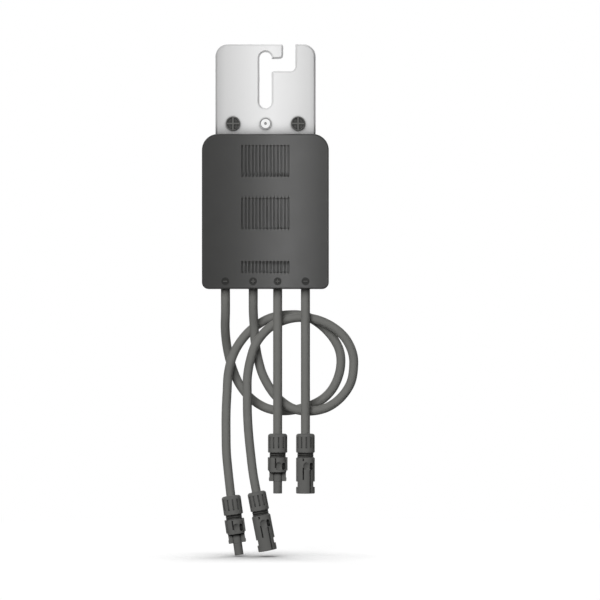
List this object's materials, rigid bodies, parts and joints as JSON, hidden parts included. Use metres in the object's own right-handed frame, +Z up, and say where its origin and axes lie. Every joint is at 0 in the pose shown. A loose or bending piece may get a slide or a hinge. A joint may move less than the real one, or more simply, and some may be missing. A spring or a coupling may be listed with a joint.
{
  "type": "power optimizer",
  "caption": "Panel-level power optimizer: flat crowned housing with groove fields on a J-slotted metal bracket, looped output leads and short input leads with plug-in connectors",
  "frame": {"origin": "bolt seat: the centre of the slot's upper round end, on the bracket's back face", "axes": "+Z up as the part hangs, +X to the right seen from the front, the front faces -Y and +Y points at the rail behind the bracket"},
  "size_m": [0.1406, 0.0459, 0.4612],
  "materials": {
    "housing_plastic": "satin moulded plastic, warm dark grey",
    "connector_plastic": "satin moulded plastic, dark grey",
    "rivet_plastic": "moulded plastic, near black",
    "lead_jacket": "satin extruded jacket, mid grey",
    "seal_rubber": "matt black rubber",
    "bracket_metal": "fine satin sheet metal",
    "rivet_metal": "bright metal",
    "screw_steel": "plated steel",
    "contact_metal": "tinned metal",
    "board_laminate": "green laminate",
    "core_iron": "pressed iron powder",
    "winding_copper": "enamelled copper wire",
    "package_epoxy": "moulded epoxy, black"
  },
  "bodies": {
    "root": {"front_housing": "housing_plastic", "back_cover": "housing_plastic", "housing_gasket": "seal_rubber", "cover_screws": "screw_steel", "mounting_bracket": "bracket_metal", "bracket_rivets": "rivet_plastic", "earth_rivet": "rivet_metal", "circuit_board": "board_laminate", "board_screws": "screw_steel", "inductor_core": "core_iron", "inductor_winding": "winding_copper", "input_capacitor": "package_epoxy", "output_capacitor": "package_epoxy", "power_transistors": "package_epoxy", "bypass_diode": "package_epoxy", "controller_chip": "package_epoxy", "lead_terminals": "contact_metal", "output_negative_grommet": "seal_rubber", "output_positive_grommet": "seal_rubber", "input_positive_grommet": "seal_rubber", "input_negative_grommet": "seal_rubber", "output_negative_lead": "lead_jacket", "output_positive_lead": "lead_jacket", "input_positive_lead": "lead_jacket", "input_negative_lead": "lead_jacket", "output_negative_cap_nut": "connector_plastic", "output_negative_cable_seal": "seal_rubber", "output_negative_probe_housing": "connector_plastic", "output_negative_socket_contact": "contact_metal", "output_positive_cap_nut": "connector_plastic", "output_positive_cable_seal": "seal_rubber", "output_positive_shell_housing": "connector_plastic", "output_positive_pin_contact": "contact_metal", "input_positive_cap_nut": "connector_plastic", "input_positive_cable_seal": "seal_rubber", "input_positive_probe_housing": "connector_plastic", "input_positive_socket_contact": "contact_metal", "input_negative_cap_nut": "connector_plastic", "input_negative_cable_seal": "seal_rubber", "input_negative_shell_housing": "connector_plastic", "input_negative_pin_contact": "contact_metal"}
  },
  "joints": []
}
